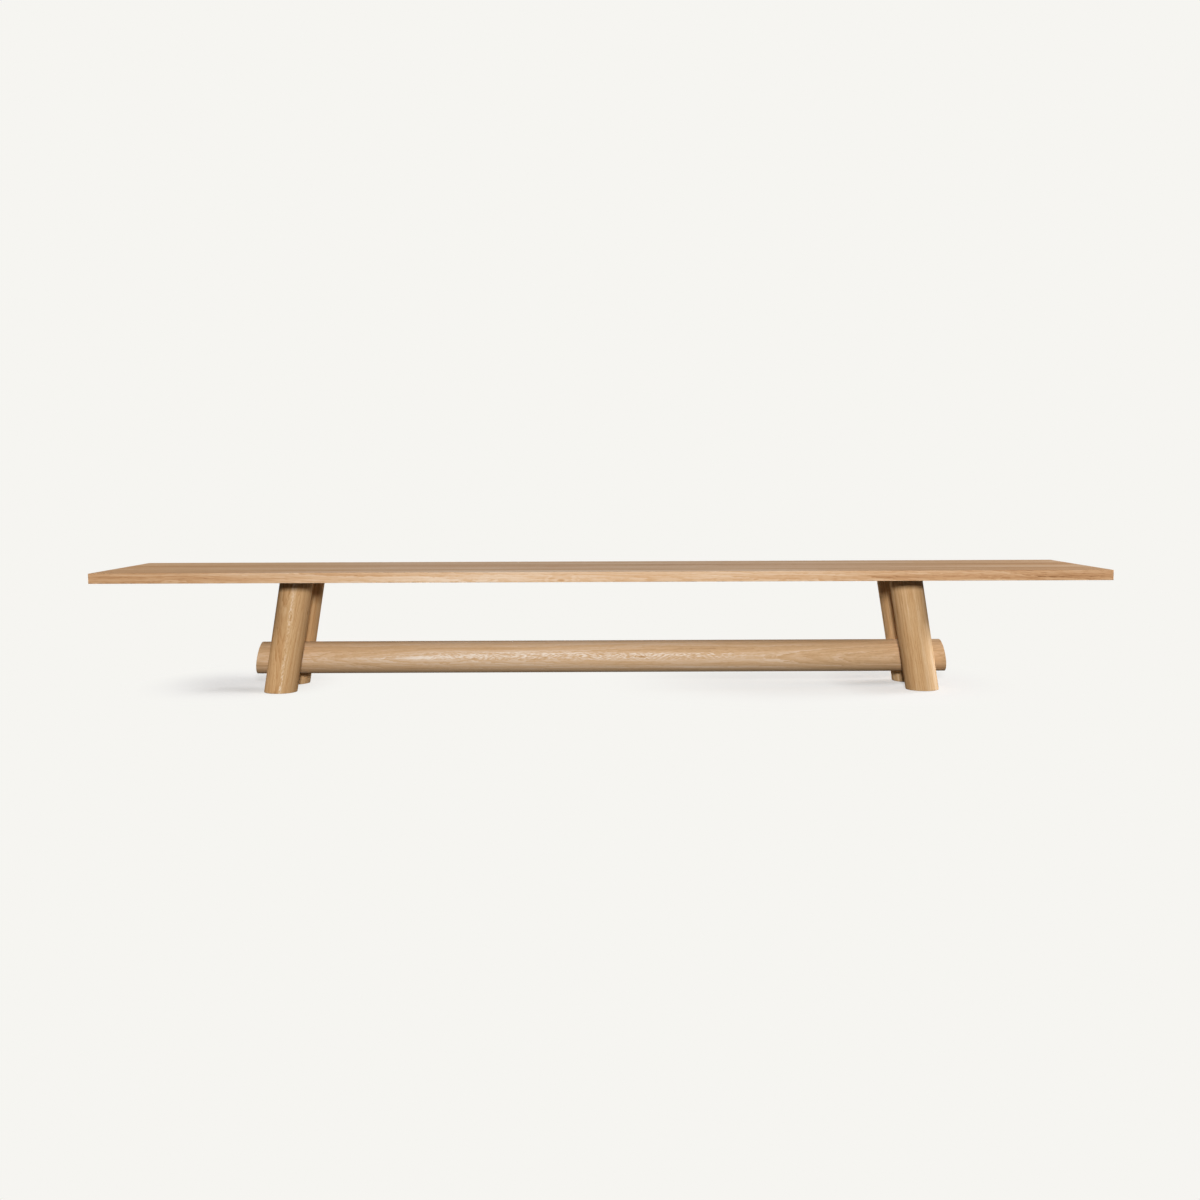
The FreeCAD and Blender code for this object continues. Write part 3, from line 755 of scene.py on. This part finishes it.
# %% [markdown]
# ## The legs
#
# The grain of the legs runs along their lean. The same oak is used, with its coordinates turned from the
# table's length up into the leg. The pith of the left legs lies behind the leg's axis, so their flame
# faces the front. The right legs are sawn on the quarter: their pith lies to the side, and the front
# shows short straight lines. Turned wood is sanded across the fibres, which leaves the legs with hardly
# any gloss.

# %% Four legs
SPLAY = math.radians(9.4)
LEG_X, LEG_Y, UNDERSIDE = 1.860, 0.190, 0.695
# The rear legs are 0.05 paler than the front ones as painted light, which lifts them out of the shade of the
# top and the front legs.
LEG_TONES_AND_PAINTED_LIGHT = {"front_left": 0.51, "front_right": 0.57, "rear_left": 0.56, "rear_right": 0.62}
LEG_KNOTS = {"front_left": [((-1.88, -0.289, 0.473), 0.007), ((-1.797, -0.21, 0.49), 0.007)]}
PITH_BESIDE = {"left": 0.012, "right": -0.30}
PITH_BEHIND = {"left": 0.17, "right": 0.04}
SAWN = {"left": {"flame_width": 0.021}, "right": {"fibre": 0.50, "fibre_length": 110}}
LEG_SEED, NEXT_LEG = 101.0, 9.0
TURNED_GLOSS = 0.03

for count, (place, tone) in enumerate(LEG_TONES_AND_PAINTED_LIGHT.items()):
    row, side = place.split("_")
    way = 1 if side == "right" else -1
    depth = -LEG_Y if row == "front" else LEG_Y
    turn = (0.0, -math.pi / 2 - way * SPLAY, 0.0)
    pith = (way * LEG_X + PITH_BESIDE[side], depth + PITH_BEHIND[side], UNDERSIDE)
    leg = oak(f"oiled_oak_leg_{place}", LEG_OAK, pith, turn, seed=LEG_SEED + NEXT_LEG * count, tone=tone,
              knots=LEG_KNOTS.get(place, ()), gloss=TURNED_GLOSS, **SAWN[side])
    dress(f"leg_{place}", leg)
    print("leg", place, "leans", round(math.degrees(way * SPLAY), 1))

# %% [markdown]
# ## The stretcher
#
# The stretcher carries the liveliest figure of the table, a pale flame all along the front, with a few
# small pin knots in it. Left of the middle the flame begins with a smooth pale spindle. It is turned like
# the legs, with its pith behind it and a little above its axis, so that the flame lies where the
# photograph has it.

# %% The stretcher
STRETCHER_PITH = (0.0, 0.17, 0.203)
BEAM_SPINDLES = [((-1.10, -0.099, 0.195), 0.68, 0.044)]     # middle, length and width
PIN_KNOTS = [((0.24, -0.099, 0.198), 0.006), ((-0.62, -0.099, 0.185), 0.005), ((1.05, -0.099, 0.192), 0.005)]
beam = oak("oiled_oak_stretcher", BEAM_OAK, STRETCHER_PITH, seed=211.0, tone=0.58, flame_width=0.044,
           knots=PIN_KNOTS, spindles=BEAM_SPINDLES, pale=(-0.10, 0.20), gloss=TURNED_GLOSS)
dress("stretcher", beam)
print("stretcher pin knots:", len(PIN_KNOTS))

# %% [markdown]
# ## Tongues and dowels
#
# The loose tongues between the boards and the dowels in the saddles are oak too, planed or turned and
# then glued in without oil. Bare oak is paler and greyer than oiled oak, and it has little gloss. The
# same material takes another ramp for it. Most of it is hidden, but the ends of the tongues show when the
# table is taken apart.

# %% Bare oak
BARE_OAK = [
    (0.00, linear("#8A6E4E")),
    (0.35, linear("#BCA07C")),
    (0.65, linear("#D3BC9A")),
    (1.00, linear("#E6D6BC")),
]
BARE_GLOSS = 0.10
ACROSS = (0.0, 0.0, math.pi / 2)
tongue_oak = oak("planed_oak_tongues", BARE_OAK, (0.0, 0.06, 0.55), seed=301.0, gloss=BARE_GLOSS)
dowel_oak = oak("turned_oak_dowels", BARE_OAK, (0.05, 0.0, 0.30), ACROSS, seed=331.0, gloss=BARE_GLOSS)
for start, material in {"top_spline": tongue_oak, "saddle_dowels": dowel_oak}.items():
    group = [name for name in nodes if name.startswith(start)]
    for name in group:
        dress(name, material)
    print(material.name, "on", len(group), "nodes", start)

# %% [markdown]
# ## Steel, brass and felt
#
# Under the top there are five steel channels and two head plates. Such parts are coated with black
# powder, which melts in an oven to a tough matt skin with a fine dimple all over. The bolts, washers and
# screws are zinc-plated: a blue-grey metal, cloudy from the bath. The threaded inserts are turned from
# brass, and the feet stand on discs of grey wool felt. Each finish is one colour ramp driven by noise,
# with the same noise on roughness and bump, because a surface that is uneven in colour is uneven in gloss
# too. Their real grain is below a millimetre, which would not show, so it is drawn two to four times as
# coarse.

# %% A clouded finish
CLOUD_DETAIL = 4.0
CLOUD_RANGE = (0.3, 0.7)        # nearly all of the noise lies in it
RELIEF = 0.5


def finish(name, spacing_mm, rough, bump_mm, stops, **shader):
    """A surface with clouds of this width, a range of roughness, bumps of this height and a colour ramp."""
    material = bpy.data.materials.new(name)
    material.use_nodes = True
    tree = material.node_tree
    tree.nodes.clear()
    spot = add(tree, "ShaderNodeTexCoord").outputs["Object"]
    cloud = add(tree, "ShaderNodeTexNoise", {"Vector": spot, "Scale": 1000 / spacing_mm,
                                             "Detail": CLOUD_DETAIL}).outputs["Fac"]
    colour = add(tree, "ShaderNodeValToRGB", {0: cloud}, stops=stops).outputs[0]
    gloss = add(tree, "ShaderNodeMapRange", {0: cloud, 1: CLOUD_RANGE[0], 2: CLOUD_RANGE[1],
                                             3: rough[0], 4: rough[1]}).outputs[0]
    relief = add(tree, "ShaderNodeBump", {"Height": cloud, "Strength": RELIEF, "Distance": bump_mm / 1000})
    skin = add(tree, "ShaderNodeBsdfPrincipled", {"Base Color": colour, "Roughness": gloss,
                                                  "Normal": relief.outputs[0], **shader})
    add(tree, "ShaderNodeOutputMaterial", {"Surface": skin.outputs[0]})
    return material


print("clouds of noise between", CLOUD_RANGE)

# %% One finish for each
POWDER = [(0.35, linear("#1D1E20")), (0.65, linear("#2F3032"))]
ZINC = [(0.3, linear("#9CA3AA")), (0.5, linear("#B9BDC0")), (0.7, linear("#C6C2B0"))]
BRASS = [(0.3, linear("#B08A45")), (0.7, linear("#D2B06C"))]
FELT = [(0.3, linear("#58534D")), (0.5, linear("#7A746B")), (0.7, linear("#989185"))]
WOOL_SHEEN = {"Sheen Weight": 0.3, "Sheen Roughness": 0.6}

powder = finish("powder_coated_steel", 2.5, (0.48, 0.62), 0.15, POWDER)
zinc = finish("zinc_plated_steel", 6.0, (0.30, 0.46), 0.02, ZINC, Metallic=1.0)
brass = finish("turned_brass", 5.0, (0.28, 0.42), 0.02, BRASS, Metallic=1.0)
felt = finish("pressed_wool_felt", 1.6, (0.90, 1.0), 0.8, FELT, **WOOL_SHEEN)
FINISHES = {"stiffener_channel": powder, "head_plate": powder, "leg_screws": zinc, "channel_inserts": brass,
            "plate_inserts": brass, "foot_glide": felt}
for start, material in FINISHES.items():
    group = [name for name in nodes if name.startswith(start)]
    for name in group:
        dress(name, material)
    print(material.name, "on", len(group), "nodes", start)

# %% [markdown]
# ## The bolts and washers
#
# Each channel is held by one button-head bolt for each board, and each head plate by six larger bolts on
# washers. They are all alike, so one bolt is modelled and Geometry Nodes set out the rows. A bolt is a
# stack of rings that all have the same number of corners. A ring may be round or six-sided, so the socket
# for the key grows out of the round head without any cutting.

# %% Rings to a solid
CORNERS = 24
SHARP = math.radians(40)


def corner(size, six_sided, count):
    """One corner of a ring of that diameter, or of that width across flats."""
    angle = 2 * math.pi * count / CORNERS
    sixth = math.pi / 3
    reach = size / 2 / math.cos((angle + sixth / 2) % sixth - sixth / 2) if six_sided else size / 2
    return Vector((reach * math.cos(angle), reach * math.sin(angle), 0.0))


def stack_of_rings(name, rings, hollow=False):
    """A solid through rings of (size, height, six_sided). A hollow one closes on itself, like a washer."""
    form = bmesh.new()
    loops = []
    for size, height, six_sided in rings:
        lift = Vector((0.0, 0.0, height))
        loops.append([form.verts.new(corner(size, six_sided, count) + lift) for count in range(CORNERS)])
    pairs = list(zip(loops, loops[1:]))
    if hollow:
        pairs.append((loops[-1], loops[0]))
    else:
        form.faces.new(loops[0])
        form.faces.new(loops[-1])
    for one, other in pairs:
        for count in range(CORNERS):
            after = (count + 1) % CORNERS
            form.faces.new((one[count], one[after], other[after], other[count]))
    bmesh.ops.recalc_face_normals(form, faces=form.faces)
    mesh = bpy.data.meshes.new(name)
    form.to_mesh(mesh)
    form.free()
    mesh.shade_smooth()
    mesh.set_sharp_from_angle(angle=SHARP)
    return bpy.data.objects.new(name, mesh)


print("corners in a ring:", CORNERS)

# %% [markdown]
# The bolt hangs head down: its seat is at height zero, the head below it and the shank above. The edge of
# the head is a round of 0.7 of its height, and the socket is 0.6 of its height deep. The tip of the shank
# has a small bevel, and so have the outer edges of the washer. All sizes are those of the CAD solids.

# %% The bolts and the washer
HEAD_ROUND, SOCKET_DEPTH = 0.7, 0.6
ROUND_STEPS = 5
TIP_BEVEL = 0.0008
WASHER_EDGE = 0.0003
WASHER = 0.002


def button_head_bolt(name, shank, length, head, head_height, key):
    bend = HEAD_ROUND * head_height
    rings = [(key, -head_height * (1 - SOCKET_DEPTH), True), (key, -head_height, True)]
    for step in range(ROUND_STEPS + 1):
        angle = math.pi / 2 * step / ROUND_STEPS
        width = head - 2 * bend * (1 - math.sin(angle))
        rings.append((width, -head_height + bend * (1 - math.cos(angle)), False))
    rings += [(head, 0.0, False), (shank, 0.0, False), (shank, length - TIP_BEVEL, False),
              (shank - 2 * TIP_BEVEL, length, False)]
    return stack_of_rings(name, rings)


def flat_washer(name, bore, width, thickness):
    face = width - 2 * WASHER_EDGE
    rings = [(bore, 0.0, False), (face, 0.0, False), (width, WASHER_EDGE, False),
             (width, thickness - WASHER_EDGE, False), (face, thickness, False), (bore, thickness, False)]
    return stack_of_rings(name, rings, hollow=True)


channel_bolt = button_head_bolt("channel_bolt", shank=0.006, length=0.018, head=0.014, head_height=0.0035,
                                key=0.004)
plate_bolt = button_head_bolt("plate_bolt", shank=0.010, length=0.035, head=0.0175, head_height=0.0055,
                              key=0.006)
washer = flat_washer("plate_washer", bore=0.0102, width=0.024, thickness=WASHER)
print("faces of one bolt:", len(channel_bolt.data.polygons))

# %% [markdown]
# The tree takes the middle of each row as a point. It lays a line of places through that point across the
# table, puts a bolt on every place, and makes the result real with its finish on. Count, pitch, piece and
# finish are inputs, so the same tree sets out both kinds of bolt and the washers.

# %% A tree that sets out rows
ROW_INPUTS = {"Row Middles": "Geometry", "Piece": "Object", "Count": "Int", "Pitch": "Float",
              "Finish": "Material"}


def rows_across():
    tree = bpy.data.node_groups.new("rows_across", "GeometryNodeTree")
    for name, kind in ROW_INPUTS.items():
        tree.interface.new_socket(name, in_out="INPUT", socket_type="NodeSocket" + kind)
    tree.interface.new_socket("Rows", in_out="OUTPUT", socket_type="NodeSocketGeometry")
    given = add(tree, "NodeGroupInput").outputs
    gaps = add(tree, "ShaderNodeMath", {0: given["Count"], 1: 1.0}, operation="SUBTRACT").outputs[0]
    span = add(tree, "ShaderNodeMath", {0: gaps, 1: given["Pitch"]}, operation="MULTIPLY").outputs[0]
    first = add(tree, "ShaderNodeMath", {0: span, 1: -0.5}, operation="MULTIPLY").outputs[0]
    start = add(tree, "ShaderNodeCombineXYZ", {"Y": first}).outputs[0]
    step = add(tree, "ShaderNodeCombineXYZ", {"Y": given["Pitch"]}).outputs[0]
    line = add(tree, "GeometryNodeMeshLine",
               {"Count": given["Count"], "Start Location": start, "Offset": step}).outputs[0]
    lines = add(tree, "GeometryNodeInstanceOnPoints",
                {"Points": given["Row Middles"], "Instance": line}).outputs[0]
    places = add(tree, "GeometryNodeRealizeInstances", {0: lines}).outputs[0]
    piece = add(tree, "GeometryNodeObjectInfo", {"Object": given["Piece"]}).outputs["Geometry"]
    rows = add(tree, "GeometryNodeInstanceOnPoints", {"Points": places, "Instance": piece}).outputs[0]
    solid = add(tree, "GeometryNodeRealizeInstances", {0: rows}).outputs[0]
    dressed = add(tree, "GeometryNodeSetMaterial",
                  {"Geometry": solid, "Material": given["Finish"]}).outputs[0]
    add(tree, "NodeGroupOutput", {"Rows": dressed})
    return tree


ROWS = rows_across()
print("tree inputs:", list(ROW_INPUTS))

# %% [markdown]
# A row's mesh is evaluated once and kept as a plain mesh, because the export drops what is only an
# instance. The middles of the rows come from the boxes of the channels and the plates, so the bolts
# follow the CAD solids.

# %% From points to a plain mesh
def set_out(name, replaced, middles, **inputs):
    """Makes one plain mesh of rows through these points, which stands for a CAD node."""
    points = bpy.data.meshes.new(name)
    points.from_pydata(middles, [], [])
    piece = bpy.data.objects.new(name, points)
    bpy.context.scene.collection.objects.link(piece)
    bpy.context.scene.collection.objects.link(inputs["Piece"])
    rows = piece.modifiers.new("rows", "NODES")
    rows.node_group = ROWS
    for item in ROWS.interface.items_tree:
        if item.name in inputs:
            rows[item.identifier] = inputs[item.name]
    ready = piece.evaluated_get(bpy.context.evaluated_depsgraph_get())
    solid = bpy.data.meshes.new_from_object(ready)
    piece.modifiers.remove(rows)
    piece.data = solid
    bpy.data.objects.remove(inputs["Piece"])
    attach(piece, "root")
    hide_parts(replaced)
    print(name, "has", len(solid.polygons), "faces and stands for", replaced)


print("rows can be set out")

# %% Set out the rows
BOARDS, CHANNELS = 7, 5
BOARD_PITCH = (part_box("top_board_7")[1].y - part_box("top_board_1")[0].y) / BOARDS
PLATE_ROW, PLATE_PITCH, PLATE_COUNT = 0.130, 0.283, 3       # off the plate's middle, apart, bolts in a row

channel_rows = []
for count in range(1, CHANNELS + 1):
    low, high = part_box(f"stiffener_channel_{count}")
    channel_rows.append(((low.x + high.x) / 2, 0.0, low.z))
plate_rows = []
for side in ("left", "right"):
    low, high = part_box(f"head_plate_{side}")
    for way in (-1, 1):
        plate_rows.append(((low.x + high.x) / 2 + way * PLATE_ROW, 0.0, low.z - WASHER))
set_out("channel_bolt_rows", "channel_bolts", channel_rows,
        Piece=channel_bolt, Count=BOARDS, Pitch=BOARD_PITCH, Finish=zinc)
set_out("plate_bolt_rows", "plate_bolts", plate_rows,
        Piece=plate_bolt, Count=PLATE_COUNT, Pitch=PLATE_PITCH, Finish=zinc)
set_out("plate_washer_rows", "plate_washers", plate_rows,
        Piece=washer, Count=PLATE_COUNT, Pitch=PLATE_PITCH, Finish=zinc)
